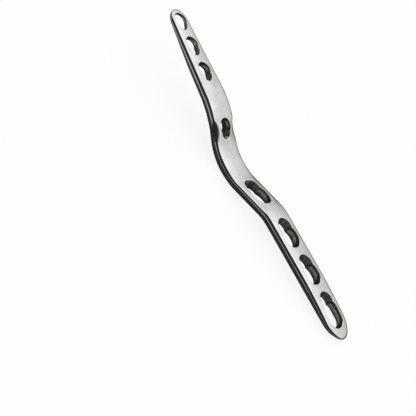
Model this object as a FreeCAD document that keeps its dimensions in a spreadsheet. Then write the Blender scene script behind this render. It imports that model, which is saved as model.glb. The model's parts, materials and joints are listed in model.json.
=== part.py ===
import FreeCAD, Part
import Sketcher
import math
import os
from FreeCAD import Placement, Rotation, Vector

# Contoured wrist plate: one bar of steel, bent twice over the joint, tapered and thinned at its far tip,
# with eight combination holes: a round threaded half that runs into an elongated compression half.
# While it is drawn, the origin is the threaded half of the middle large hole, on the top face:
# +X runs to the wide end and +Z out of the top face. The finished plate is laid down as it rests.

SIZES = {
    "plate_width": (10.8, "across the wide part"),
    "plate_thickness": (3.3, "top face to bone side"),
    "crown_radius": (36.0, "the top face is slightly domed across its width"),
    "bone_side_bevel": (1.25, "slope along the lower edges"),
    "top_edge_radius": (0.45, "rounding along the upper edges"),
    "end_slope_radius": (205.0, "the top falls away towards the wide end"),
    "shoulder_radius": (15.4, "bend between the flat and the slope"),
    "slope_run": (11.5, "straight part of the slope"),
    "slope_angle": (17.1, "slope down from the flat to the valley"),
    "valley_radius": (19.0, "hollow bend over the wrist"),
    "crank_run": (0.6, "straight part of the steep rise"),
    "crank_angle": (30.2, "steep rise out of the valley"),
    "distal_bend_radius": (34.5, "long bend above the steep rise"),
    "distal_angle": (4.75, "slope of the far part"),
    "flat_behind": (16.2, "flat from the middle large hole to the shoulder"),
    "flat_ahead": (1.5, "flat from the middle large hole to the end slope"),
    "large_pitch": (13.0, "between the three large holes on the flat"),
    "shoulder_gap": (16.5, "from the flat's first hole over the shoulder"),
    "valley_gap": (19.5, "from the slope's hole through the valley"),
    "distal_gap": (19.2, "from the steep rise's hole over the long bend"),
    "small_pitch": (9.0, "between the three small holes"),
    "end_margin": (3.0, "from the last hole's rim to the wide end"),
    "tip_margin": (1.1, "from the first hole's rim to the tip"),
    "end_nose_radius": (4.3, "wide end seen from above"),
    "end_corner_radius": (8.0, "wide end seen from above"),
    "tip_width": (7.3, "width that the taper reaches at the tip"),
    "taper_length": (28.5, "length of the taper"),
    "tip_nose_radius": (3.2, "tip seen from above"),
    "tip_corner_radius": (4.8, "tip seen from above"),
    "tip_thickness": (0.85, "thickness at the very tip"),
    "thinning_angle": (3.7, "the bone side rises towards the tip"),
    "thinning_radius": (34.0, "where the thinning runs out"),
    "large_thread_radius": (2.2, "threaded half of a large hole"),
    "large_thread_rim": (2.6, "its rim on the top face"),
    "large_seat_rim": (3.45, "rim of the compression half"),
    "large_seat_radius": (3.25, "ball seat for the screw head"),
    "large_throat_radius": (2.05, "way through for the screw"),
    "large_throat_depth": (2.3, "depth of the seat"),
    "large_seat_near": (3.35, "from the thread to the seat's near end"),
    "large_seat_far": (4.5, "from the thread to the seat's far end"),
    "end_seat_far": (6.35, "the same in the long hole at the wide end"),
    "small_thread_radius": (1.8, "threaded half of a small hole"),
    "small_thread_rim": (2.2, "its rim on the top face"),
    "small_seat_rim": (2.5, "rim of the compression half"),
    "small_seat_radius": (2.35, "ball seat for the screw head"),
    "small_throat_radius": (1.65, "way through for the screw"),
    "small_throat_depth": (1.5, "depth of the seat"),
    "small_seat_near": (1.4, "from the thread to the seat's near end"),
    "small_seat_far": (1.9, "from the thread to the seat's far end"),
    "relief_angle": (25.0, "the holes widen towards the bone"),
}

size = {name: value for name, (value, note) in SIZES.items()}
os.makedirs("parts", exist_ok=True)
doc = FreeCAD.newDocument("bone_plate_model")
sheet = doc.addObject("Spreadsheet::Sheet", "sizes")
for row, (name, (value, note)) in enumerate(SIZES.items(), start=1):
    sheet.set(f"A{row}", name)
    sheet.set(f"B{row}", str(value))
    sheet.set(f"C{row}", note)
    sheet.setAlias(f"B{row}", name)
doc.recompute()

OVERRUN = 2.0  # how far bars and cuts run past the finished plate
DEPTH_BELOW = 20.0  # how far the cuts on the bone side run down
UP = Vector(0, 0, 1)
ORIGIN = (-1, 1)
FIRST_EXTERNAL = (-3, 1)
SECOND_EXTERNAL = (-4, 1)
ACROSS_AXIS = -1
UPRIGHT_AXIS = -2


def origin_plane(body, role):
    return next(item for item in body.Origin.OriginFeatures if item.Role == role)


def direction(degrees):
    return Vector(math.cos(math.radians(degrees)), math.sin(math.radians(degrees)), 0)


class Outline:
    # A sketch drawn as a chain of lines and arcs, each of which starts where the last one ended.

    def __init__(self, body, name, role, start):
        self.sketch = body.newObject("Sketcher::SketchObject", name)
        self.sketch.AttachmentSupport = [(origin_plane(body, role), "")]
        self.sketch.MapMode = "FlatFace"
        self.begin(start)

    def begin(self, start):
        self.here = start
        self.ends = {}

    def line(self, end):
        index = self.sketch.addGeometry(Part.LineSegment(self.here, end))
        self.ends[index] = (1, 2)
        self.here = end
        return index

    def arc(self, centre, end):
        radius = (end - centre).Length
        circle = Part.Circle(centre, UP, radius)
        before, after = self.here - centre, end - centre
        angles = [math.atan2(before.y, before.x), math.atan2(after.y, after.x)]
        leftward = before.x * after.y - before.y * after.x > 0
        if not leftward:
            angles.reverse()
        index = self.sketch.addGeometry(Part.ArcOfCircle(circle, *angles))
        self.ends[index] = (1, 2) if leftward else (2, 1)
        self.here = end
        return index

    def join(self, kind, first, second):
        self.fix(kind, first, self.ends[first][1], second, self.ends[second][0])

    def fix(self, kind, *places):
        return self.sketch.addConstraint(Sketcher.Constraint(kind, *places))

    def measure(self, name, expression, kind, *places_and_value):
        index = self.fix(kind, *places_and_value)
        self.sketch.renameConstraint(index, name)
        self.sketch.setExpression(f"Constraints.{name}", expression)


def by_size(expression):
    # Writes the sheet's name before each size in a formula.
    words = expression.split()
    return " ".join(f"<<sizes>>.{word}" if word in SIZES else word for word in words)


# The top line of the plate, seen from the side, from the tip to the wide end.
shoulder_arc = size["shoulder_radius"] * math.radians(size["slope_angle"])
valley_arc = size["valley_radius"] * math.radians(size["slope_angle"] + size["crank_angle"])
distal_arc = size["distal_bend_radius"] * math.radians(size["crank_angle"] - size["distal_angle"])
bent_length = (
    distal_arc + size["crank_run"] + valley_arc + size["slope_run"] + shoulder_arc + size["flat_behind"]
)
stations = {
    "large_hole_middle": 0.0,
    "large_hole_end": size["large_pitch"],
    "large_hole_flat": -size["large_pitch"],
}
stations["large_hole_slope"] = stations["large_hole_flat"] - size["shoulder_gap"]
stations["small_hole_crank"] = stations["large_hole_slope"] - size["valley_gap"]
stations["small_hole_inner"] = stations["small_hole_crank"] - size["distal_gap"]
stations["small_hole_middle"] = stations["small_hole_inner"] - size["small_pitch"]
stations["small_hole_tip"] = stations["small_hole_middle"] - size["small_pitch"]
tip_station = stations["small_hole_tip"] - size["small_seat_far"] - size["small_seat_rim"] - size["tip_margin"]
distal_run = -tip_station - bent_length
end_reach = size["large_pitch"] + size["end_seat_far"] + size["large_seat_rim"] + size["end_margin"]

# Each stretch is its length and the turn along it, in degrees, counted from the tip.
# The line runs on past both ends of the plate, where its outline is cut.
end_turn = -math.degrees(math.asin((end_reach + OVERRUN - size["flat_ahead"]) / size["end_slope_radius"]))
stretches = [
    (OVERRUN + distal_run, 0.0),
    (distal_arc, size["distal_angle"] - size["crank_angle"]),
    (size["crank_run"], 0.0),
    (valley_arc, size["crank_angle"] + size["slope_angle"]),
    (size["slope_run"], 0.0),
    (shoulder_arc, -size["slope_angle"]),
    (size["flat_behind"] + size["flat_ahead"], 0.0),
    (size["end_slope_radius"] * math.radians(-end_turn), end_turn),
]


def along_top(distance):
    # The point and heading at a distance along the top line, counted from where it starts.
    point, heading = Vector(0, 0, 0), -size["distal_angle"]
    for length, turn in stretches:
        part = min(max(distance, 0.0), length)
        bend = turn * part / length
        chord = part if turn == 0 else 2 * length / math.radians(turn) * math.sin(math.radians(bend / 2))
        point = point + direction(heading + bend / 2) * chord
        heading = heading + bend
        distance = distance - part
    return point, heading


def at_station(station):
    # The point and heading on the plate, counted from the threaded half of the middle large hole.
    point, heading = along_top(station - tip_station + OVERRUN)
    return line_start + point, heading


line_start = Vector(-size["flat_behind"], 0, 0) - along_top(-size["flat_behind"] - tip_station + OVERRUN)[0]
tip_point = at_station(tip_station)[0]

plate = doc.addObject("PartDesign::Body", "bone_plate")
top_line = Outline(plate, "top_line", "XZ_Plane", line_start)
travelled = 0.0
for length, turn in stretches:
    heading = along_top(travelled)[1]
    travelled = travelled + length
    end = line_start + along_top(travelled)[0]
    if turn == 0:
        top_line.line(end)
    else:
        radius = abs(length / math.radians(turn))
        top_line.arc(top_line.here + direction(heading + math.copysign(90, turn)) * radius, end)
distal, distal_bend, crank, valley, slope, shoulder, flat, end_slope = range(len(stretches))
for index in range(len(stretches) - 1):
    top_line.join("Tangent", index, index + 1)
for name, index in (
    ("distal_bend_radius", distal_bend),
    ("valley_radius", valley),
    ("shoulder_radius", shoulder),
    ("end_slope_radius", end_slope),
):
    top_line.measure(name, by_size(name), "Radius", index, size[name])
for name, index, sign in (("distal_angle", distal, -1), ("crank_angle", crank, -1), ("slope_angle", slope, 1)):
    top_line.measure(name, by_size(f"{sign} * {name} * 1 deg"), "Angle", index, math.radians(sign * size[name]))
for name, index in (("crank_run", crank), ("slope_run", slope)):
    top_line.measure(name, by_size(name), "Distance", index, size[name])
top_line.fix("Distance", distal, OVERRUN + distal_run)
top_line.fix("Horizontal", flat)
top_line.fix("PointOnObject", flat, 1, ACROSS_AXIS)
top_line.measure("flat_behind", by_size("flat_behind"), "DistanceX", flat, 1, *ORIGIN, size["flat_behind"])
top_line.measure("flat_ahead", by_size("flat_ahead"), "DistanceX", *ORIGIN, flat, 2, size["flat_ahead"])
reach = "large_pitch + end_seat_far + large_seat_rim + end_margin"
end_place = (end_slope, top_line.ends[end_slope][1])
top_line.measure(
    "reach", by_size(f"{reach} + {OVERRUN}"), "DistanceX", *ORIGIN, *end_place, end_reach + OVERRUN
)

# The bar's section: a domed top, straight sides and a flat bone side, wider than the finished plate.
half_width = size["plate_width"] / 2
bar_half = half_width + OVERRUN
crown = size["crown_radius"]
crown_drop = crown - math.sqrt(crown**2 - bar_half**2)
section = Outline(plate, "bar_section", "YZ_Plane", Vector(bar_half, -crown_drop, 0))
dome = section.arc(Vector(0, -crown, 0), Vector(-bar_half, -crown_drop, 0))
near_side = section.line(Vector(-bar_half, -size["plate_thickness"], 0))
bone_side = section.line(Vector(bar_half, -size["plate_thickness"], 0))
far_side = section.line(Vector(bar_half, -crown_drop, 0))
for first, second in ((dome, near_side), (near_side, bone_side), (bone_side, far_side), (far_side, dome)):
    section.join("Coincident", first, second)
section.fix("Vertical", near_side)
section.fix("Vertical", far_side)
section.fix("Symmetric", bone_side, 1, bone_side, 2, UPRIGHT_AXIS)
section.fix("PointOnObject", dome, 3, UPRIGHT_AXIS)
section.fix("PointOnObject", *ORIGIN, dome)
section.measure("crown_radius", by_size("crown_radius"), "Radius", dome, crown)
section.measure(
    "width", by_size(f"plate_width + {2 * OVERRUN}"), "DistanceX", bone_side, 1, bone_side, 2, 2 * bar_half
)
section.measure(
    "thickness", by_size("plate_thickness"), "DistanceY", bone_side, 2, *ORIGIN, size["plate_thickness"]
)
bar = plate.newObject("PartDesign::AdditivePipe", "bar")
bar.Profile = section.sketch
bar.Spine = (top_line.sketch, [])
bar.Transition = "Transformed"
doc.recompute()


def cut_through(name, outline):
    # Cuts the outline's area all the way through the plate, and stops if nothing comes off.
    before = plate.Shape.Volume
    pocket = plate.newObject("PartDesign::Pocket", name)
    pocket.Profile = outline.sketch
    pocket.Type = "ThroughAll"
    pocket.SideType = "Symmetric"
    doc.recompute()
    if not pocket.Shape.Volume < before:
        raise RuntimeError(f"{name} cuts nothing")


def rectangle(outline, low, high):
    # A rectangle of four lines from its lower left corner, with its lines' numbers.
    outline.begin(low)
    corners = (Vector(high.x, low.y, 0), high, Vector(low.x, high.y, 0), low)
    sides = [outline.line(corner) for corner in corners]
    for first, second in zip(sides, sides[1:] + sides[:1]):
        outline.join("Coincident", first, second)
    for side in sides[::2]:
        outline.fix("Horizontal", side)
    for side in sides[1::2]:
        outline.fix("Vertical", side)
    return sides


# The bone side stays level under the end slope.
level = Outline(plate, "level_outline", "XZ_Plane", Vector(0, 0, 0))
level_low = Vector(size["flat_ahead"], -size["plate_thickness"] - DEPTH_BELOW, 0)
level_high = Vector(end_reach + 2 * OVERRUN, -size["plate_thickness"], 0)
low_side, outer_side, high_side, inner_side = rectangle(level, level_low, level_high)
level.measure("start", by_size("flat_ahead"), "DistanceX", *ORIGIN, low_side, 1, level_low.x)
level.measure("depth", by_size("plate_thickness"), "DistanceY", high_side, 1, *ORIGIN, -level_high.y)
level.fix("DistanceX", *ORIGIN, low_side, 2, level_high.x)
level.fix("DistanceY", low_side, 1, *ORIGIN, -level_low.y)
cut_through("level_bone_side", level)


def round_end(apex, half, slant, nose, corner):
    # An end that points along -X: where its corner arc leaves the side line, that arc's centre,
    # where the nose arc takes over, and the nose arc's centre.
    rise = math.tan(math.radians(slant))
    height = half + rise * nose - corner / math.cos(math.radians(slant))
    squared, linear, constant = 1 + rise**2, 2 * height * rise, height**2 - (corner - nose) ** 2
    inboard = (-linear + math.sqrt(linear**2 - 4 * squared * constant)) / (2 * squared)
    nose_centre = Vector(apex + nose, 0, 0)
    corner_centre = Vector(nose_centre.x + inboard, height + rise * inboard, 0)
    outward = (nose_centre - corner_centre).normalize()
    return corner_centre + direction(90 + slant) * corner, corner_centre, nose_centre + outward * nose, nose_centre


def across(point):
    # The same point on the other side of the plate's middle line.
    return Vector(point.x, -point.y, 0)


# The outline seen from above: the wide end is round, the far end tapers to a round tip.
taper = math.degrees(math.atan((size["plate_width"] - size["tip_width"]) / 2 / size["taper_length"]))
tip_side, tip_corner, tip_join, tip_nose = round_end(
    tip_point.x, size["tip_width"] / 2, taper, size["tip_nose_radius"], size["tip_corner_radius"]
)
wide_side, wide_corner, wide_join, wide_nose = (
    Vector(-point.x, point.y, 0)
    for point in round_end(-end_reach, half_width, 0, size["end_nose_radius"], size["end_corner_radius"])
)
taper_start = Vector(tip_point.x + size["taper_length"], half_width, 0)
plan = Outline(plate, "plan_outline", "XY_Plane", tip_join)
plan.sketch.addExternal(top_line.sketch.Name, "Vertex1")
corner_left = plan.arc(tip_corner, tip_side)
taper_left = plan.line(taper_start)
side_left = plan.line(wide_side)
wide_left = plan.arc(wide_corner, wide_join)
wide_round = plan.arc(wide_nose, across(wide_join))
wide_right = plan.arc(across(wide_corner), across(wide_side))
side_right = plan.line(across(taper_start))
taper_right = plan.line(across(tip_side))
corner_right = plan.arc(across(tip_corner), across(tip_join))
tip_round = plan.arc(tip_nose, tip_join)
smooth = [(tip_round, corner_left), (corner_left, taper_left), (side_left, wide_left), (wide_left, wide_round)]
smooth += [(wide_round, wide_right), (wide_right, side_right), (taper_right, corner_right)]
smooth += [(corner_right, tip_round)]
for first, second in smooth:
    plan.join("Tangent", first, second)
for first, second in ((taper_left, side_left), (side_right, taper_right)):
    plan.join("Coincident", first, second)
for side in (side_left, side_right):
    plan.fix("Horizontal", side)
for end_arc in (tip_round, wide_round):
    plan.fix("PointOnObject", end_arc, 3, ACROSS_AXIS)
plan.fix("Symmetric", side_left, 1, side_right, 2, ACROSS_AXIS)
for name, *arcs in (
    ("tip_nose_radius", tip_round),
    ("end_nose_radius", wide_round),
    ("tip_corner_radius", corner_left, corner_right),
    ("end_corner_radius", wide_left, wide_right),
):
    for index in arcs:
        plan.measure(f"{name}_{index}", by_size(name), "Radius", index, size[name])
taper_formula = "atan( ( plate_width - tip_width ) / 2 / taper_length )"
plan.measure("taper_left", by_size(taper_formula), "Angle", taper_left, math.radians(taper))
plan.measure("taper_right", by_size(f"180 deg - {taper_formula}"), "Angle", taper_right, math.radians(180 - taper))
plan.measure("width", by_size("plate_width"), "DistanceY", side_right, 2, side_left, 1, size["plate_width"])
past_tip = f"{OVERRUN} * cos( distal_angle * 1 deg )"
plan.measure(
    "tip",
    by_size(f"{past_tip} + tip_nose_radius"),
    "DistanceX",
    *FIRST_EXTERNAL,
    tip_round,
    3,
    tip_nose.x - line_start.x,
)
plan.measure(
    "taper_length",
    by_size(f"{past_tip} + taper_length"),
    "DistanceX",
    *FIRST_EXTERNAL,
    side_left,
    1,
    taper_start.x - line_start.x,
)
plan.measure("wide_end", by_size(f"{reach} - end_nose_radius"), "DistanceX", *ORIGIN, wide_round, 3, wide_nose.x)
margin = 3 * OVERRUN
frame_low = Vector(line_start.x - margin, -bar_half - margin, 0)
frame_high = Vector(end_reach + OVERRUN + margin, bar_half + margin, 0)
frame_sides = rectangle(plan, frame_low, frame_high)
plan.fix("DistanceX", frame_sides[0], 1, *ORIGIN, -frame_low.x)
plan.fix("DistanceX", *ORIGIN, frame_sides[0], 2, frame_high.x)
plan.fix("DistanceY", frame_sides[0], 1, *ORIGIN, -frame_low.y)
plan.fix("DistanceY", *ORIGIN, frame_sides[2], 1, frame_high.y)
cut_through("cut_outline", plan)


def edges_beside(low, high):
    # The edges between an upright side face and a face whose upward slope lies between the two values.
    shape = plate.Shape
    names = []
    for number, edge in enumerate(shape.Edges, start=1):
        middle = edge.valueAt((edge.FirstParameter + edge.LastParameter) / 2)
        slopes = []
        for face in shape.ancestorsOfType(edge, Part.Face):
            normal = face.normalAt(*face.Surface.parameter(middle))
            slopes.append(normal.z)
        upright = [rise for rise in slopes if abs(rise) < 0.01]
        chosen = [rise for rise in slopes if low < rise < high]
        if upright and chosen:
            names.append(f"Edge{number}")
    return names


def dress(kind, name, edges, sheet_size):
    # A chamfer or fillet on the plate's edges, with its size from the sheet.
    feature = plate.newObject(kind, name)
    feature.Base = (plate.Group[-2], edges)
    feature.setExpression("Size" if kind.endswith("Chamfer") else "Radius", by_size(sheet_size))
    doc.recompute()


dress("PartDesign::Chamfer", "bone_side_bevels", edges_beside(-1.01, -0.5), "bone_side_bevel")
dress("PartDesign::Fillet", "polished_edges", edges_beside(0.5, 1.01), "top_edge_radius")
# The far part is thinned from the bone side, most at the tip.
thinning = math.radians(size["thinning_angle"])
thinned = -size["distal_angle"] - size["thinning_angle"]
run_out = -size["crank_angle"] - size["thinning_angle"]
start_gap = size["tip_thickness"] * math.cos(thinning) - OVERRUN * math.sin(thinning)
thin_start = Vector(line_start.x, line_start.y - start_gap / math.cos(math.radians(thinned)), 0)
bend_point = line_start + along_top(stretches[distal][0])[0]
thin_length = (bend_point.x - thin_start.x) / math.cos(math.radians(thinned))
thin_bend = thin_start + direction(thinned) * thin_length
thin_centre = thin_bend + direction(thinned - 90) * size["thinning_radius"]
thin_end = thin_centre + direction(run_out + 90) * size["thinning_radius"]
floor_height = -size["plate_thickness"] - DEPTH_BELOW
under = Outline(plate, "thinning_outline", "XZ_Plane", thin_start)
for vertex in (1, 2):
    under.sketch.addExternal(top_line.sketch.Name, f"Vertex{vertex}")
thin_line = under.line(thin_bend)
thin_arc = under.arc(thin_centre, thin_end)
inner_wall = under.line(Vector(thin_end.x, floor_height, 0))
floor_line = under.line(Vector(thin_start.x, floor_height, 0))
outer_wall = under.line(thin_start)
under.join("Tangent", thin_line, thin_arc)
for first, second in ((thin_arc, inner_wall), (inner_wall, floor_line), (floor_line, outer_wall), (outer_wall, thin_line)):
    under.join("Coincident", first, second)
under.fix("Vertical", inner_wall)
under.fix("Horizontal", floor_line)
under.fix("Vertical", thin_line, 1, *FIRST_EXTERNAL)
under.fix("Vertical", thin_line, 2, *SECOND_EXTERNAL)
under.fix("Vertical", outer_wall)
under.fix("DistanceY", floor_line, 1, *ORIGIN, -floor_height)
under.measure(
    "tip_thickness",
    by_size(f"tip_thickness * cos( thinning_angle * 1 deg ) - {OVERRUN} * sin( thinning_angle * 1 deg )"),
    "Distance",
    *FIRST_EXTERNAL,
    thin_line,
    start_gap,
)
under.measure(
    "thinned", by_size("-1 * ( distal_angle + thinning_angle ) * 1 deg"), "Angle", thin_line, math.radians(thinned)
)
under.measure("thinning_radius", by_size("thinning_radius"), "Radius", thin_arc, size["thinning_radius"])
under.measure(
    "run_out",
    by_size("( crank_angle - distal_angle ) * 1 deg"),
    "Angle",
    thin_arc,
    math.radians(thinned - run_out),
)
cut_through("thin_far_part", under)



def half_profile(outline, kind, half, sign):
    # One side of a hole's profile, drawn down from the top of its axis: a chamfered rim, the threaded
    # wall or the ball seat, and the way through, which widens to the bone side.
    rim, throat_depth = size[f"{kind}_{half}_rim"], size[f"{kind}_throat_depth"]
    narrow = size[f"{kind}_thread_radius"] if half == "thread" else size[f"{kind}_throat_radius"]
    floor = -size["plate_thickness"] - OVERRUN
    wide = narrow + math.tan(math.radians(size["relief_angle"])) * (-throat_depth - floor)
    axis = outline.here.x

    def place(out, up):
        return Vector(axis + sign * out, up, 0)

    top = outline.line(place(rim + OVERRUN, OVERRUN))
    if half == "thread":
        cone = outline.line(place(narrow, narrow - rim))
        wall = outline.line(place(narrow, -throat_depth))
    else:
        ball = size[f"{kind}_seat_radius"]
        centre = math.sqrt(ball**2 - narrow**2) - throat_depth
        inner = (rim + centre + math.sqrt(2 * ball**2 - (rim + centre) ** 2)) / 2
        cone = outline.line(place(inner, inner - rim))
        wall = outline.arc(place(0, centre), place(narrow, -throat_depth))
    relief = outline.line(place(wide, floor))
    bottom = outline.line(place(0, floor))
    for first, second in ((top, cone), (cone, wall), (wall, relief), (relief, bottom)):
        outline.join("Coincident", first, second)
    side = "right" if sign > 0 else "left"
    for level_line in (top, bottom):
        outline.fix("Horizontal", level_line)
    outline.fix("Vertical", top, 1, bottom, 2)
    outline.fix("DistanceY", *ORIGIN, top, 1, OVERRUN)
    outline.fix("Angle", cone, math.radians(-90 - sign * 45))

    def measure_out(name, formula, point, distance):
        ends = (top, 1, *point) if sign > 0 else (*point, top, 1)
        outline.measure(f"{name}_{side}", by_size(formula), "DistanceX", *ends, distance)

    def measure_down(name, formula, point, distance):
        outline.measure(f"{name}_{side}", by_size(formula), "DistanceY", *point, *ORIGIN, distance)

    measure_out("rim", f"{kind}_{half}_rim + {OVERRUN}", (cone, 1), rim + OVERRUN)
    narrow_name = f"{kind}_thread_radius" if half == "thread" else f"{kind}_throat_radius"
    measure_out("narrow", narrow_name, (relief, 1), narrow)
    measure_down("throat_depth", f"{kind}_throat_depth", (relief, 1), throat_depth)
    measure_down("floor", f"plate_thickness + {OVERRUN}", (bottom, 2), -floor)
    relief_heading = -90 + sign * size["relief_angle"]
    relief_formula = by_size(f"( -90 + {sign} * relief_angle ) * 1 deg")
    outline.measure(f"relief_{side}", relief_formula, "Angle", relief, math.radians(relief_heading))
    if half == "thread":
        outline.fix("Vertical", wall)
    else:
        outline.fix("Vertical", top, 1, wall, 3)
        outline.measure(f"ball_{side}", by_size(f"{kind}_seat_radius"), "Radius", wall, ball)
    return top, bottom


def turned_part(body, name, kind, half, axis_place):
    # A round end of a hole: half a profile turned about the upright line at the given size from the origin.
    offset = size[axis_place] if axis_place else 0.0
    outline = Outline(body, f"{name}_profile", "XZ_Plane", Vector(offset, OVERRUN, 0))
    top, bottom = half_profile(outline, kind, half, 1)
    axis = outline.line(Vector(offset, OVERRUN, 0))
    outline.join("Coincident", bottom, axis)
    outline.join("Coincident", axis, top)
    if axis_place:
        outline.measure("axis", by_size(axis_place), "DistanceX", *ORIGIN, top, 1, offset)
    else:
        outline.fix("PointOnObject", top, 1, UPRIGHT_AXIS)
    turned = body.newObject("PartDesign::Revolution", name)
    turned.Profile = outline.sketch
    turned.ReferenceAxis = (outline.sketch, [f"Edge{axis + 1}"])
    turned.Angle = 360


def hole_tool(name, kind, far_place):
    # The solid that cuts one combination hole. Its origin is the centre of the threaded half on the
    # top face, and the compression half lies along +X.
    body = doc.addObject("PartDesign::Body", name)
    near_place = f"{kind}_seat_near"
    turned_part(body, "thread_half", kind, "thread", None)
    turned_part(body, "seat_near_end", kind, "seat", near_place)
    turned_part(body, "seat_far_end", kind, "seat", far_place)
    outline = Outline(body, "seat_section", "YZ_Plane", Vector(0, OVERRUN, 0))
    outline.sketch.AttachmentOffset = Placement(Vector(0, 0, size[near_place]), Rotation())
    outline.sketch.setExpression("AttachmentOffset.Base.z", by_size(near_place))
    for sign in (1, -1):
        outline.here = Vector(0, OVERRUN, 0)
        top, bottom = half_profile(outline, kind, "seat", sign)
        outline.fix("PointOnObject", top, 1, UPRIGHT_AXIS)
    channel = body.newObject("PartDesign::Pad", "seat_channel")
    channel.Profile = outline.sketch
    channel.setExpression("Length", by_size(f"{far_place} - {near_place}"))
    doc.recompute()
    return body


# Every hole is cut by a linked copy of its tool, square to the top face where it stands.
# The small holes point their compression half at the tip, the large ones at the wide end.
large_tool = hole_tool("large_hole_tool", "large", "large_seat_far")
end_tool = hole_tool("end_hole_tool", "large", "end_seat_far")
small_tool = hole_tool("small_hole_tool", "small", "small_seat_far")
holes = []
for name, station in stations.items():
    tool = end_tool if name == "large_hole_end" else large_tool if name.startswith("large") else small_tool
    point, heading = at_station(station)
    turn = 180 if tool == small_tool else 0
    hole = doc.addObject("App::Link", name)
    hole.LinkedObject = tool
    hole.LinkTransform = True
    hole.Placement = Placement(
        Vector(point.x, 0, point.y), Rotation(Vector(0, 1, 0), -heading) * Rotation(UP, turn)
    )
    holes.append(hole)
before_holes = plate.Shape.Volume
combination_holes = plate.newObject("PartDesign::Boolean", "combination_holes")
combination_holes.Type = "Cut"
combination_holes.Group = holes
doc.recompute()
if not plate.Shape.Volume < before_holes:
    raise RuntimeError("the holes cut nothing")

# Laid down, the plate touches at the wide end's lower edge and under the valley.
bent_under = size["valley_radius"] + size["plate_thickness"]
valley_start, valley_heading = along_top(sum(length for length, turn in stretches[:valley]))
valley_centre = line_start + valley_start + direction(valley_heading + 90) * size["valley_radius"]
heel = Vector(end_reach - size["bone_side_bevel"], -size["plate_thickness"], 0)
reach_back = valley_centre - heel
lean = math.degrees(math.asin(bent_under / reach_back.Length) - math.atan2(reach_back.y, -reach_back.x))
plate.Placement = Placement(Vector(0, 0, 0), Rotation(Vector(0, 1, 0), lean))
laid = plate.Shape.optimalBoundingBox()
rest = Placement(Vector(-laid.Center.x, 0, -laid.ZMin), plate.Placement.Rotation)
plate.Placement = rest
doc.recompute()

for item in doc.Objects:
    if "Invalid" in item.State or "Error" in item.State:
        raise RuntimeError(f"{item.Label} failed")
if plate.Shape.isNull() or not plate.Shape.isValid() or len(plate.Shape.Solids) != 1:
    raise RuntimeError(f"{plate.Label} is not one sound solid")
plate.Shape.exportStep(f"parts/{plate.Label}.step")

bone_side_middle = rest.multVec(Vector(0, 0, -size["plate_thickness"]))
print("at rest", plate.Shape.optimalBoundingBox(), "lean", round(lean, 4), "shift", rest.Base)
print("bone side middle", bone_side_middle, "faces", rest.Rotation.multVec(-UP))
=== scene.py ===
import bmesh
import bpy
import json
import math
import numpy as np
from mathutils import Matrix, Vector


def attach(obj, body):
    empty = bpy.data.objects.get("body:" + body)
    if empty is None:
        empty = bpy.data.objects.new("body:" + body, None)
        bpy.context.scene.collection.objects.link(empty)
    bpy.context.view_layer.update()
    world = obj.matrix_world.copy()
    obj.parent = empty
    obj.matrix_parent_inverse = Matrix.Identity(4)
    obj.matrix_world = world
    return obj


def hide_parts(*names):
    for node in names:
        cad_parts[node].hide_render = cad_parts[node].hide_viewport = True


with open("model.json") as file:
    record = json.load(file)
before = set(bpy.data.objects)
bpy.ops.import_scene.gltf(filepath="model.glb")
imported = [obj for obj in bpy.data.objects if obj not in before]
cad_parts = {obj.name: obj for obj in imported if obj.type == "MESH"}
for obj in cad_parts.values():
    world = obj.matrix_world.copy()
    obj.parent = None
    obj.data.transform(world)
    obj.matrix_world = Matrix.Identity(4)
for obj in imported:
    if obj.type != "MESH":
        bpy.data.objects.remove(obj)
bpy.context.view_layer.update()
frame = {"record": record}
mm = 0.001
print("plate loaded")


class Socket:
    # one output of a node tree, so that shader maths reads as plain sums
    def __init__(self, tree, output):
        self.tree = tree
        self.output = output

    def maths(self, operation, first, second):
        return self.tree.node("ShaderNodeMath", {"operation": operation}, {0: first, 1: second})

    def __add__(self, other):
        return self.maths("ADD", self, other)

    def __radd__(self, other):
        return self.maths("ADD", other, self)

    def __mul__(self, other):
        return self.maths("MULTIPLY", self, other)

    def __rmul__(self, other):
        return self.maths("MULTIPLY", other, self)


class Tree:
    # the nodes of one material or of the world
    def __init__(self, owner):
        owner.use_nodes = True
        self.tree = owner.node_tree
        self.tree.nodes.clear()

    def node(self, kind, settings=None, inputs=None, output=0):
        made = self.tree.nodes.new(kind)
        for name, value in (settings or {}).items():
            if name == "stops":
                ramp = made.color_ramp
                for place, colour in value:
                    stop = ramp.elements.new(place)
                    stop.color = colour
                ramp.elements.remove(ramp.elements[0])
                ramp.elements.remove(ramp.elements[-1])
            else:
                setattr(made, name, value)
        for name, value in (inputs or {}).items():
            if isinstance(value, Socket):
                self.tree.links.new(value.output, made.inputs[name])
            else:
                made.inputs[name].default_value = value
        return Socket(self, made.outputs[output]) if made.outputs else made


def newMaterial(name):
    material = bpy.data.materials.new(name)
    return material, Tree(material)


# scales are per millimetre; a belt's are along the plate, around its section and unused
polish = {
    "bright": (0.83, 0.826, 0.818, 1),
    "dull": (0.62, 0.615, 0.608, 1),
    "dullShare": 0.65,
    "clouds": 0.16,
    "pits": 1.1,
    "belt": (0.06, 2.6, 1.0),
    "fineBelt": (0.25, 9.0, 1.0),
    "patchFrom": 0.38,
    "patchTo": 0.60,
    "smoothest": 0.05,
    "roughest": 0.17,
    "waves": 0.6,
    "waveHeight": 0.12,
    "lines": 0.10,
    "lineHeight": 0.05,
}


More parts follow.
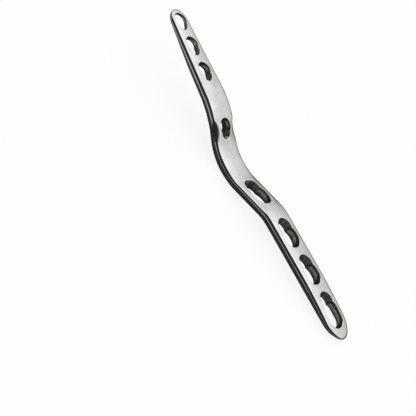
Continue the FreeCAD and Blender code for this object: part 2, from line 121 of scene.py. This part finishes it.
def polishedSteel():
    # mirror polish with cloudy patches, faint lines from the polishing belt along the plate and tiny pits
    material, tree = newMaterial("polishedSteel")
    skin = tree.node("ShaderNodeUVMap", {"uv_map": "skin"})
    solid = tree.node("ShaderNodeTexCoord", {}, {}, "Object")

    def noise(vector, scale, detail, roughness=0.5):
        inputs = {"Vector": vector, "Scale": scale, "Detail": detail, "Roughness": roughness}
        return tree.node("ShaderNodeTexNoise", {}, inputs)

    def stretched(scale):
        return tree.node("ShaderNodeVectorMath", {"operation": "MULTIPLY"}, {0: skin, 1: scale})

    clouds = noise(solid, polish["clouds"] / mm, 4.0, 0.55)
    belt = noise(stretched(polish["belt"]), 1.0, 3.0, 0.6)
    fineBelt = noise(stretched(polish["fineBelt"]), 1.0, 2.0)
    pits = noise(solid, polish["pits"] / mm, 3.0)
    patch = tree.node(
        "ShaderNodeMapRange",
        {"interpolation_type": "SMOOTHSTEP"},
        {
            "Value": clouds * 0.6 + belt * 0.3 + pits * 0.1,
            "From Min": polish["patchFrom"],
            "From Max": polish["patchTo"],
        },
    )
    tones = {0: patch * polish["dullShare"], 6: polish["bright"], 7: polish["dull"]}
    colour = tree.node("ShaderNodeMix", {"data_type": "RGBA"}, tones, 2)
    span = polish["roughest"] - polish["smoothest"]
    rough = polish["smoothest"] + span * patch * (0.5 + fineBelt * 0.7)
    waves = tree.node(
        "ShaderNodeBump",
        {},
        {"Strength": polish["waves"], "Distance": polish["waveHeight"] * mm, "Height": clouds},
    )
    lines = tree.node(
        "ShaderNodeBump",
        {},
        {
            "Strength": polish["lines"],
            "Distance": polish["lineHeight"] * mm,
            "Height": belt * 0.7 + fineBelt * 0.3,
            "Normal": waves,
        },
    )
    inputs = {"Base Color": colour, "Metallic": 1.0, "Roughness": rough, "Normal": lines}
    surface = tree.node("ShaderNodeBsdfPrincipled", {}, inputs)
    tree.node("ShaderNodeOutputMaterial", {}, {"Surface": surface})
    return material


shadedMachining = {
    "bright": (0.78, 0.76, 0.73, 1),
    # the dark end of the walls' colour is painted shade inside the holes
    "dull": (0.16, 0.155, 0.15, 1),
    "grain": 0.7,
    "smoothest": 0.12,
    "roughest": 0.35,
    "bump": 0.2,
    "bumpHeight": 0.03,
}


def machinedSteelPaintedShade():
    # the holes' walls are left as they were cut, duller than the polished skin; their darker colour is
    # painted shade inside the holes
    material, tree = newMaterial("machinedSteelPaintedShade")
    solid = tree.node("ShaderNodeTexCoord", {}, {}, "Object")
    inputs = {"Vector": solid, "Scale": shadedMachining["grain"] / mm, "Detail": 4.0}
    grain = tree.node("ShaderNodeTexNoise", {}, inputs)
    tones = {0: grain, 6: shadedMachining["bright"], 7: shadedMachining["dull"]}
    colour = tree.node("ShaderNodeMix", {"data_type": "RGBA"}, tones, 2)
    rough = shadedMachining["smoothest"] + (shadedMachining["roughest"] - shadedMachining["smoothest"]) * grain
    inputs = {"Strength": shadedMachining["bump"], "Distance": shadedMachining["bumpHeight"] * mm, "Height": grain}
    bump = tree.node("ShaderNodeBump", {}, inputs)
    inputs = {"Base Color": colour, "Metallic": 1.0, "Roughness": rough, "Normal": bump}
    surface = tree.node("ShaderNodeBsdfPrincipled", {}, inputs)
    tree.node("ShaderNodeOutputMaterial", {}, {"Surface": surface})
    return material


steelFinishes = [polishedSteel(), machinedSteelPaintedShade()]
print("steel mixed")


def linked(name, mesh):
    piece = bpy.data.objects.new(name, mesh)
    bpy.context.scene.collection.objects.link(piece)
    return piece


def drawnPiece(name, points, faces):
    mesh = bpy.data.meshes.new(name)
    mesh.from_pydata(points, [], faces)
    return linked(name, mesh)


def squarePiece(name, half, height):
    corners = [(-half, -half, height), (half, -half, height), (half, half, height), (-half, half, height)]
    return drawnPiece(name, corners, [(0, 1, 2, 3)])


def builtPiece(name, built):
    mesh = bpy.data.meshes.new(name)
    built.to_mesh(mesh)
    built.free()
    return linked(name, mesh)


def skinOver(built, rings):
    # faces from each ring of points to the next, as one list for each pair of rings
    corners = [[built.verts.new(point) for point in ring] for ring in rings]
    rows = []
    for first, second in zip(corners, corners[1:]):
        row = []
        for here in range(len(first)):
            after = (here + 1) % len(first)
            row.append(built.faces.new((first[here], first[after], second[after], second[here])))
        rows.append(row)
    return corners, rows


# The plate is drawn in millimetres from its middle large hole, with x towards the wide end and z out
# of the top face. The record's mounts say how that drawing lies at rest and where the holes are.
mounts = {mount["name"]: mount for mount in frame["record"]["mounts"]}
middleHole = mounts["large_hole_middle"]
lean = math.atan2(middleHole["axis"][0], middleHole["axis"][2])
drawingPlace = Matrix.Translation(Vector(middleHole["pos_m"])) @ Matrix.Rotation(lean, 4, "Y")
atRest = drawingPlace @ Matrix.Scale(mm, 4)


def mountPlace(mount):
    # where a mount lies in the drawing, with z along its axis
    toDrawing = atRest.inverted()
    axis = toDrawing.to_3x3() @ Vector(mount["axis"])
    tilt = Matrix.Rotation(math.atan2(axis.x, axis.z), 4, "Y")
    return Matrix.Translation(toDrawing @ Vector(mount["pos_m"])) @ tilt


plateSizes = {
    "width": 10.8,
    "thickness": 3.3,
    "crown": 36.0,  # radius of the dome across the top
    "bevel": 1.25,
    "edge": 0.55,  # height of the rounded upper edge
    "edgeAcross": 1.0,  # its reach inwards
    "edgeEnd": 12.0,  # angle at which it meets the side
    # the side's bands: share of the way down it, and how far it is sunk there
    "bands": ((0.0, 0.12), (0.17, 0.07), (0.34, 0.0), (0.50, 0.0), (0.56, 0.035), (0.76, 0.0), (1.0, 0.0)),
    "bandedSide": 1.7,  # a side lower than this has shallower bands
    "flatBehind": 16.2,
    "flatAhead": 1.5,
    "endSlope": 205.0,
    "shoulder": 15.4,
    "slopeRun": 11.5,
    "slopeAngle": 17.1,
    "valley": 19.0,
    "crankRun": 0.6,
    "crankAngle": 30.2,
    "distalBend": 34.5,
    "distalAngle": 4.75,
    "endReach": 25.8,
    "tipReach": 91.7,
    "endNose": 4.3,
    "endCorner": 8.0,
    "tipWidth": 7.3,
    "taperLength": 28.5,
    "tipNose": 3.2,
    "tipCorner": 4.8,
    "tipThickness": 0.85,
    "thinningAngle": 3.7,
    "lineStep": 0.05,
    "endRows": 200,
    "outlineStep": 0.35,
    "columns": 13,
    "edgeSteps": 9,
    "underColumns": 4,
    "creaseAngle": 32.0,
}


def topStretches():
    # each stretch of the top line is its length and its turn, from the middle large hole back to the tip
    size = plateSizes
    fall = size["slopeAngle"]
    rise = -size["slopeAngle"] - size["crankAngle"]
    easing = size["crankAngle"] - size["distalAngle"]
    stretches = [
        (size["flatBehind"], 0.0),
        (size["shoulder"] * math.radians(fall), fall),
        (size["slopeRun"], 0.0),
        (size["valley"] * math.radians(-rise), rise),
        (size["crankRun"], 0.0),
        (size["distalBend"] * math.radians(easing), easing),
    ]
    bentLength = sum(length for length, turn in stretches)
    return stretches + [(size["tipReach"] - bentLength, 0.0)]


def topLine():
    # points on the top line, each with its heading and the plate's thickness, from the tip to the wide end
    size = plateSizes
    x, z, heading, travelled = 0.0, 0.0, 0.0, 0.0
    rows = []
    for length, turn in topStretches():
        count = max(1, round(length / size["lineStep"]))
        for step in range(count):
            middle = math.radians(heading + turn / count / 2)
            x -= length / count * math.cos(middle)
            z -= length / count * math.sin(middle)
            heading += turn / count
            travelled += length / count
            left = size["tipReach"] - travelled
            deep = size["tipThickness"] + left * math.tan(math.radians(size["thinningAngle"]))
            rows.append((x, z, math.radians(heading), min(deep, size["thickness"])))
    rows.reverse()
    rows.append((0.0, 0.0, 0.0, size["thickness"]))
    beyond = size["endReach"] + 1 - size["flatAhead"]
    for step in range(1, size["endRows"] + 1):
        out = beyond * step / size["endRows"]
        fall = size["endSlope"] - math.sqrt(size["endSlope"] ** 2 - out**2)
        heading = -math.asin(out / size["endSlope"])
        rows.append((size["flatAhead"] + out, -fall, heading, size["thickness"]))
    return np.array(rows)


# the bone side follows the top line, and stays level under the wide end, whose top falls away
lineX, lineZ, lineHeading, lineDeep = topLine().T
parallel = lineX <= plateSizes["flatAhead"]
underX = np.where(parallel, lineX + lineDeep * np.sin(lineHeading), lineX)
underZ = np.where(parallel, lineZ - lineDeep * np.cos(lineHeading), -plateSizes["thickness"])


def topHeight(x, y):
    # height of the domed top face
    crown = plateSizes["crown"]
    dome = crown - math.sqrt(crown**2 - y**2)
    return np.interp(x, lineX, lineZ) - dome / math.cos(np.interp(x, lineX, lineHeading))


def roundEnd(apex, half, slant, nose, corner):
    # half of an end that points along -x, as arcs with their centre, radius and two angles in degrees
    rise = math.tan(math.radians(slant))
    height = half + rise * nose - corner / math.cos(math.radians(slant))
    squared, linear, constant = 1 + rise**2, 2 * height * rise, height**2 - (corner - nose) ** 2
    inboard = (-linear + math.sqrt(linear**2 - 4 * squared * constant)) / (2 * squared)
    noseCentre = Vector((apex + nose, 0))
    cornerCentre = Vector((noseCentre.x + inboard, height + rise * inboard))
    outward = noseCentre - cornerCentre
    meeting = math.degrees(math.atan2(outward.y, outward.x))
    return [(noseCentre, nose, 180.0, meeting), (cornerCentre, corner, meeting, 90 + slant)]


def arcPoints(arcs):
    # points on the arcs, twice as close as on the sides, each with its outward normal
    points = []
    for centre, radius, first, last in arcs:
        length = radius * math.radians(abs(first - last))
        count = max(4, round(length / plateSizes["outlineStep"] * 2))
        for turn in np.linspace(first, last, count, endpoint=False):
            outward = Vector((math.cos(math.radians(turn)), math.sin(math.radians(turn))))
            points.append((centre + radius * outward, outward))
    return points


def linePoints(first, last, outward):
    count = max(1, round((last - first).length / plateSizes["outlineStep"]))
    return [(first.lerp(last, step / count), outward) for step in range(count)]


def halfOutline():
    # the plate's outline on its +y side, seen from above, from the tip to the wide end
    size = plateSizes
    half = size["width"] / 2
    tipX = lineX[0]
    taper = math.degrees(math.atan((half - size["tipWidth"] / 2) / size["taperLength"]))
    tipArcs = roundEnd(tipX, size["tipWidth"] / 2, taper, size["tipNose"], size["tipCorner"])
    wideArcs = roundEnd(-size["endReach"], half, 0, size["endNose"], size["endCorner"])
    slanted = Vector((-math.sin(math.radians(taper)), math.cos(math.radians(taper))))
    straight = Vector((0, 1))
    tipSide = tipArcs[1][0] + tipArcs[1][1] * slanted
    taperStart = Vector((tipX + size["taperLength"], half))
    wideSide = Vector((-wideArcs[1][0].x, half))
    points = arcPoints(tipArcs) + linePoints(tipSide, taperStart, slanted)
    points += linePoints(taperStart, wideSide, straight)
    wideEnd = arcPoints(wideArcs) + [(wideArcs[1][0] + wideArcs[1][1] * straight, straight)]
    for point, outward in reversed(wideEnd):
        points.append((Vector((-point.x, point.y)), Vector((-outward.x, outward.y))))
    return points


def sectionRing(point, outward):
    # the section's points at one place of the outline, round from the top's middle by the +y side
    size = plateSizes

    def inset(distance):
        return point - outward * float(distance)

    under = np.interp(point.x, underX, underZ)
    bevel = max(0.0, size["bevel"] - size["thickness"] + np.interp(point.x, lineX, lineDeep))
    edgeEnd = math.radians(size["edgeEnd"])
    sideTop = topHeight(point.x, point.y) - size["edge"] * (1 - math.sin(edgeEnd))
    share = min(1.0, (sideTop - under - bevel) / size["bandedSide"])
    shift = size["bands"][0][1] * share - size["edgeAcross"] * (1 - math.cos(edgeEnd))
    inner = inset(shift + size["edgeAcross"])
    ring = []
    for step in range(size["columns"]):
        y = inner.y * step / size["columns"]
        ring.append((inner.x, y, topHeight(inner.x, y)))
    for turn in np.linspace(math.pi / 2, edgeEnd, size["edgeSteps"] + 1):
        place = inset(shift + size["edgeAcross"] * (1 - math.cos(turn)))
        drop = size["edge"] * (1 - math.sin(turn)) / math.cos(np.interp(place.x, lineX, lineHeading))
        ring.append((place.x, place.y, topHeight(place.x, place.y) - drop))
    sideTop = ring[-1][2]
    for down, indent in size["bands"][1:]:
        place = inset(indent * share)
        ring.append((place.x, place.y, sideTop * (1 - down) + (under + bevel) * down))
    low = inset(bevel)
    lowUnder = np.interp(low.x, underX, underZ)
    for step in range(size["underColumns"] + 1):
        ring.append((low.x, low.y * (1 - step / size["underColumns"]), lowUnder))
    return ring + [(x, -y, z) for x, y, z in reversed(ring)]


def makeBar():
    # the plate before its holes are cut; its map is measured in millimetres along it and around its section
    rings = [sectionRing(point, outward) for point, outward in halfOutline()]
    rings.append(sectionRing(Vector((plateSizes["endReach"], 0)), Vector((1, 0))))
    built = bmesh.new()
    skinMap = built.loops.layers.uv.new("skin")
    corners, rows = skinOver(built, rings)
    measured = {}
    along = 0.0
    for number, ring in enumerate(rings):
        if number:
            along += math.dist(ring[0], rings[number - 1][0])
        around = 0.0
        for place in range(len(ring) // 2):
            if place:
                around += math.dist(ring[place], ring[place - 1])
            measured[corners[number][place]] = (along, around)
            measured[corners[number][-1 - place]] = (along, -around)
    for row in rows:
        for face in row:
            for loop in face.loops:
                loop[skinMap].uv = measured[loop.vert]
    bmesh.ops.remove_doubles(built, verts=built.verts, dist=1e-4)
    bmesh.ops.dissolve_degenerate(built, edges=built.edges, dist=1e-5)
    bmesh.ops.recalc_face_normals(built, faces=built.faces)
    return builtPiece("contouredPlate", built)


holeSizes = {
    "large": {
        "mouth": 2.72,
        "foot": 2.3,
        "ball": 3.33,
        "throat": 2.8,
        "deep": 2.3,
        "near": 3.23,
        "far": 4.04,
        "pitch": 0.72,
        "groove": 0.12,
        "relief": 25.0,
    },
    "small": {
        "mouth": 1.88,
        "foot": 1.6,
        "ball": 2.45,
        "throat": 2.1,
        "deep": 1.5,
        "near": 2.0,
        "far": 2.05,
        "pitch": 0.55,
        "groove": 0.10,
        "relief": 8.0,
    },
    "ownFar": {"large_hole_end": 5.92, "small_hole_tip": 1.4},
    "rounding": 0.33,
    "rimRows": 7,
    "above": 0.3,
    "below": 2.0,
    "roof": 1.5,
    "flareEnd": 72.0,
    "sides": 96,
    "seatRows": 10,
    "threadRows": 8,  # to each turn of the groove
    "fadeIn": 0.25,
    "fadeOut": 0.1,
    "grooveSlope": 2.6,
}


def flareRows(radius):
    # radius and height down a rounded rim, from above the top face to the wall
    rounding = holeSizes["rounding"]
    end = math.radians(holeSizes["flareEnd"])
    reach = radius + rounding * (1 - math.cos(end))
    height = rounding * (math.sin(end) - 1)
    rows = [(reach + (holeSizes["above"] - height) * math.tan(end), holeSizes["above"])]
    for turn in np.linspace(end, 0, holeSizes["rimRows"]):
        rows.append((radius + rounding * (1 - math.cos(turn)), rounding * (math.sin(turn) - 1)))
    return rows


def reliefRow(size, narrow):
    # radius and height of the lowest ring, below the bone side
    floor = plateSizes["thickness"] + holeSizes["below"]
    return narrow + (floor - size["deep"]) * math.tan(math.radians(size["relief"])), -floor


def grooveDepth(size, height, share):
    # how deep the thread is cut at one height and share of a turn, fading out at its two ends
    phase = (height / size["pitch"] + share) % 1.0
    fadeIn = (-holeSizes["rounding"] - height) / holeSizes["fadeIn"]
    fadeOut = (height + size["deep"]) / holeSizes["fadeOut"]
    profile = max(0.0, 1 - holeSizes["grooveSlope"] * abs(phase - 0.5))
    return size["groove"] * min(1.0, fadeIn, fadeOut) * profile


def threadRing(size, radius, height, grooved):
    points = []
    for side in range(holeSizes["sides"]):
        share = side / holeSizes["sides"]
        out = radius + (grooveDepth(size, height, share) if grooved else 0.0)
        points.append((out * math.cos(2 * math.pi * share), out * math.sin(2 * math.pi * share), height))
    return points


def threadRings(size):
    # the round threaded half, from above the top face down through the bone side
    rings = [threadRing(size, radius, height, False) for radius, height in flareRows(size["mouth"])]
    tall = size["deep"] - holeSizes["rounding"]
    rows = round(tall / size["pitch"] * holeSizes["threadRows"])
    for row in range(1, rows + 1):
        radius = size["mouth"] + (size["foot"] - size["mouth"]) * row / rows
        rings.append(threadRing(size, radius, -holeSizes["rounding"] - tall * row / rows, True))
    return rings + [threadRing(size, *reliefRow(size, size["foot"]), False)]


def seatRows(size):
    # radius and height down the long half: rounded rim, ball seat and way through
    centre = math.sqrt(size["ball"] ** 2 - size["throat"] ** 2) - size["deep"]
    rows = flareRows(size["ball"])
    lowest = math.asin((centre + size["deep"]) / size["ball"])
    for turn in np.linspace(0.0, lowest, holeSizes["seatRows"]):
        rows.append((size["ball"] * math.cos(turn), centre - size["ball"] * math.sin(turn)))
    return rows + [reliefRow(size, size["throat"])]


def seatRings(size, far):
    # the long half, round its far end and then its near one
    rings = []
    half = holeSizes["sides"] // 2
    for radius, height in seatRows(size):
        ring = []
        for centre, start in ((far, -math.pi / 2), (min(size["near"], far), math.pi / 2)):
            for side in range(half + 1):
                turn = start + math.pi * side / half
                ring.append((centre + radius * math.cos(turn), radius * math.sin(turn), height))
        rings.append(ring)
    return rings


def closedCutter(name, rings, place, deep):
    # a cutter in the hole's own place, whose upper part follows the domed and bent top face
    upright = place.to_3x3()
    placed = []
    for ring in rings:
        row = []
        for x, y, z in ring:
            over = place @ Vector((x, y, 0))
            offset = (topHeight(over.x, over.y) - over.z) * upright[2][2]
            follow = min(1.0, max(0.0, (z + deep) / (deep - holeSizes["rounding"])))
            row.append(place @ Vector((x, y, z + offset * follow)))
        placed.append(row)
    built = bmesh.new()
    corners, rows = skinOver(built, placed)
    # the walls below the rounded rim take the machined finish, whose darker colour is painted shade inside
    # the holes
    for row in rows[holeSizes["rimRows"]:]:
        for face in row:
            face.material_index = 1
    for ring, height in ((corners[0], holeSizes["roof"]), (corners[-1], 0.0)):
        middle = sum((corner.co for corner in ring), Vector()) / len(ring)
        apex = built.verts.new(middle + upright @ Vector((0, 0, height)))
        for here in range(len(ring)):
            built.faces.new((ring[here], ring[(here + 1) % len(ring)], apex))
    bmesh.ops.remove_doubles(built, verts=built.verts, dist=1e-5)
    bmesh.ops.recalc_face_normals(built, faces=built.faces)
    return builtPiece(name, built)


def holeCutters():
    cutters = []
    for name, mount in mounts.items():
        if "_hole_" not in name:
            continue
        kind = name.split("_")[0]
        size = holeSizes[kind]
        place = mountPlace(mount)
        if kind == "small":
            place = place @ Matrix.Rotation(math.pi, 4, "Z")  # their long half points to the tip
        far = holeSizes["ownFar"].get(name, size["far"])
        cutters.append(closedCutter(f"{name}_thread", threadRings(size), place, size["deep"]))
        cutters.append(closedCutter(f"{name}_seat", seatRings(size, far), place, size["deep"]))
    return cutters


scoopSizes = {"radius": 14.0, "reach": 1.95, "slant": 32.0, "shift": 1.6, "sides": 256, "beyond": 2.0}


def scoopRing(out):
    points = []
    for side in range(scoopSizes["sides"]):
        turn = 2 * math.pi * side / scoopSizes["sides"]
        rise = scoopSizes["radius"] * (1 + math.sin(turn))
        points.append(Vector((scoopSizes["radius"] * math.cos(turn), out, rise)))
    return points


def scoopCutters():
    # a shallow hollow on both upper edges beside the hole on the steep rise
    size = scoopSizes
    crank = mountPlace(mounts["small_hole_crank"])
    centre = crank @ Vector((-size["shift"], 0, 0))
    innerY = plateSizes["width"] / 2 - size["reach"]
    out = size["reach"] + size["beyond"]
    cutters = []
    for name, side in (("leftScoop", 1), ("rightScoop", -1)):
        start = Vector((centre.x, side * innerY, topHeight(centre.x, innerY)))
        slant = Matrix.Rotation(math.radians(-side * size["slant"]), 4, "X")
        place = Matrix.Translation(start) @ crank.to_3x3().to_4x4() @ slant
        built = bmesh.new()
        ends, rows = skinOver(built, [[place @ point for point in scoopRing(end)] for end in (-out, out)])
        for ring in ends:
            built.faces.new(ring)
        bmesh.ops.recalc_face_normals(built, faces=built.faces)
        cutters.append(builtPiece(name, built))
    return cutters


def cutAway(piece, cutters):
    for cutter in cutters:
        cut = piece.modifiers.new(cutter.name, "BOOLEAN")
        cut.operation = "DIFFERENCE"
        cut.solver = "MANIFOLD"
        cut.object = cutter
    for part in [piece] + cutters:
        for material in steelFinishes:
            part.data.materials.append(material)
    graph = bpy.context.evaluated_depsgraph_get()
    mesh = bpy.data.meshes.new_from_object(piece.evaluated_get(graph))
    piece.modifiers.clear()
    piece.data = mesh
    for cutter in cutters:
        bpy.data.objects.remove(cutter)


def makePlate():
    plate = makeBar()
    cutAway(plate, holeCutters() + scoopCutters())
    plate.data.transform(atRest)
    for face in plate.data.polygons:
        face.use_smooth = True
    plate.data.set_sharp_from_angle(angle=math.radians(plateSizes["creaseAngle"]))
    return plate


plate = makePlate()
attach(plate, "root")
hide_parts("bone_plate")
print("plate cut")


floorSizes = {"half": 1.5, "colour": (0.93, 0.93, 0.93, 1), "glow": 0.85}


def makeFloor():
    # a pale floor that keeps the shadow, and is whiter for the camera and in reflections
    floor = squarePiece("floor", floorSizes["half"], 0)
    material, tree = newMaterial("paleFloor")
    matt = tree.node("ShaderNodeBsdfDiffuse", {}, {"Color": floorSizes["colour"]})
    glow = tree.node("ShaderNodeEmission", {}, {"Color": (1, 1, 1, 1), "Strength": 1.0})
    camera = tree.node("ShaderNodeLightPath", {}, {}, "Is Camera Ray")
    glossy = tree.node("ShaderNodeLightPath", {}, {}, "Is Glossy Ray")
    through = tree.node("ShaderNodeLightPath", {}, {}, "Is Transmission Ray")
    share = (camera + glossy + through) * floorSizes["glow"]
    surface = tree.node("ShaderNodeMixShader", {}, {0: share, 1: matt, 2: glow})
    tree.node("ShaderNodeOutputMaterial", {}, {"Surface": surface})
    floor.data.materials.append(material)


makeFloor()
print("floor made")


def flagOnly(piece):
    # a flag shows in the polished steel, and nowhere else
    piece.visible_camera = False
    piece.visible_diffuse = False
    piece.visible_shadow = False
    piece.visible_transmission = False


# tones of painted dark reflections under the plate, paler towards the camera
sheetSizes = {
    "half": 0.6,
    "height": 0.0001,
    "dark": (0.035, 0.032, 0.030, 1),
    "pale": (0.42, 0.41, 0.40, 1),
    "paleFrom": -0.018,
    "paleTo": -0.05,
}


def makeSheet():
    # a glowing sheet under and around the plate, seen only in the polished steel as painted dark
    # reflections, paler towards the camera
    sheet = squarePiece("darkReflectionSheet", sheetSizes["half"], sheetSizes["height"])
    material, tree = newMaterial("darkReflectionGlow")
    place = tree.node("ShaderNodeTexCoord", {}, {}, "Object")
    across = tree.node("ShaderNodeSeparateXYZ", {}, {0: place}, 1)
    limits = {"Value": across, "From Min": sheetSizes["paleFrom"], "From Max": sheetSizes["paleTo"]}
    share = tree.node("ShaderNodeMapRange", {"interpolation_type": "SMOOTHSTEP"}, limits)
    tones = {0: share, 6: sheetSizes["dark"], 7: sheetSizes["pale"]}
    tone = tree.node("ShaderNodeMix", {"data_type": "RGBA"}, tones, 2)
    glow = tree.node("ShaderNodeEmission", {}, {"Color": tone, "Strength": 1.0})
    tree.node("ShaderNodeOutputMaterial", {}, {"Surface": glow})
    sheet.data.materials.append(material)
    flagOnly(sheet)


# each stop is the sine of an elevation and the tent's tone of painted reflection there
tentSizes = {
    "radius": 0.6,
    "sides": 72,
    "rows": 24,
    "glow": 1.2,
    "brightTowards": 103.9,
    "brightFrom": 0.0,
    "brightTo": 0.3,
    "farSide": (
        (0.0, (0.02, 0.019, 0.018, 1)),
        (0.20, (0.03, 0.029, 0.028, 1)),
        (0.30, (0.42, 0.42, 0.42, 1)),
        (0.40, (0.57, 0.57, 0.57, 1)),
        (0.62, (0.70, 0.70, 0.70, 1)),
        (0.82, (0.98, 0.98, 0.98, 1)),
        (0.90, (0.95, 0.95, 0.95, 1)),
        (0.95, (0.06, 0.06, 0.06, 1)),
    ),
    "nearSide": (
        (0.0, (0.02, 0.019, 0.018, 1)),
        (0.12, (0.15, 0.143, 0.136, 1)),
        (0.42, (0.12, 0.115, 0.11, 1)),
        (0.55, (0.02, 0.019, 0.018, 1)),
    ),
}


def domePiece(name, radius, sides, rows):
    points, faces = [], []
    for row in range(rows + 1):
        rise = math.pi / 2 * row / rows
        out = radius * math.cos(rise)
        for side in range(sides):
            turn = 2 * math.pi * side / sides
            points.append((out * math.cos(turn), out * math.sin(turn), radius * math.sin(rise)))
    for low in range(0, rows * sides, sides):
        high = low + sides
        for side in range(sides):
            after = (side + 1) % sides
            faces.append((low + side, low + after, high + after, high + side))
    return drawnPiece(name, points, faces)


def makeTent():
    # a dark tent seen only in the polished steel, whose far side glows as one large soft painted reflection
    # with painted highlights, brighter towards its top
    tent = domePiece("reflectionTent", tentSizes["radius"], tentSizes["sides"], tentSizes["rows"])
    material, tree = newMaterial("tentReflectionGlow")
    place = tree.node("ShaderNodeTexCoord", {}, {}, "Object")
    outward = tree.node("ShaderNodeVectorMath", {"operation": "NORMALIZE"}, {0: place})
    rise = tree.node("ShaderNodeSeparateXYZ", {}, {0: outward}, 2)
    turn = math.radians(tentSizes["brightTowards"])
    inputs = {0: outward, 1: (math.cos(turn), math.sin(turn), 0)}
    towards = tree.node("ShaderNodeVectorMath", {"operation": "DOT_PRODUCT"}, inputs, "Value")
    limits = {"Value": towards, "From Min": tentSizes["brightFrom"], "From Max": tentSizes["brightTo"]}
    share = tree.node("ShaderNodeMapRange", {"interpolation_type": "SMOOTHSTEP"}, limits)
    far = tree.node("ShaderNodeValToRGB", {"stops": tentSizes["farSide"]}, {0: rise})
    near = tree.node("ShaderNodeValToRGB", {"stops": tentSizes["nearSide"]}, {0: rise})
    tone = tree.node("ShaderNodeMix", {"data_type": "RGBA"}, {0: share, 6: near, 7: far}, 2)
    glow = tree.node("ShaderNodeEmission", {}, {"Color": tone, "Strength": tentSizes["glow"]})
    tree.node("ShaderNodeOutputMaterial", {}, {"Surface": glow})
    tent.data.materials.append(material)
    flagOnly(tent)


makeSheet()
makeTent()
print("flags made")

world = bpy.data.worlds.new("studio")
bpy.context.scene.world = world
sky = Tree(world)
background = sky.node("ShaderNodeBackground", {}, {"Color": (1, 1, 1, 1), "Strength": 1.0})
sky.node("ShaderNodeOutputWorld", {}, {"Surface": background})

# the target is in millimetres and the angles are in degrees
cameraPlace = {
    "target": (0.93, -11.13, -6.59),
    "azimuth": -76.10,
    "elevation": 37.07,
    "roll": -48.48,
    "distance": 381.1,
    "lens": 106.35,
    "sensor": 36,
    "clip": (0.01, 20),
}


def placeCamera():
    azimuth = math.radians(cameraPlace["azimuth"])
    elevation = math.radians(cameraPlace["elevation"])
    level = math.cos(elevation)
    away = Vector((level * math.cos(azimuth), level * math.sin(azimuth), math.sin(elevation)))
    data = bpy.data.cameras.new("camera")
    data.sensor_width = cameraPlace["sensor"]
    data.lens = cameraPlace["lens"]
    data.clip_start, data.clip_end = cameraPlace["clip"]
    camera = bpy.data.objects.new("camera", data)
    bpy.context.scene.collection.objects.link(camera)
    facing = away.to_track_quat("Z", "Y").to_matrix().to_4x4()
    roll = Matrix.Rotation(-math.radians(cameraPlace["roll"]), 4, "Z")
    place = Vector(cameraPlace["target"]) * mm + away * cameraPlace["distance"] * mm
    camera.matrix_world = Matrix.Translation(place) @ facing @ roll
    bpy.context.scene.camera = camera


placeCamera()
bpy.context.scene.view_settings.view_transform = "Standard"
print("camera placed")
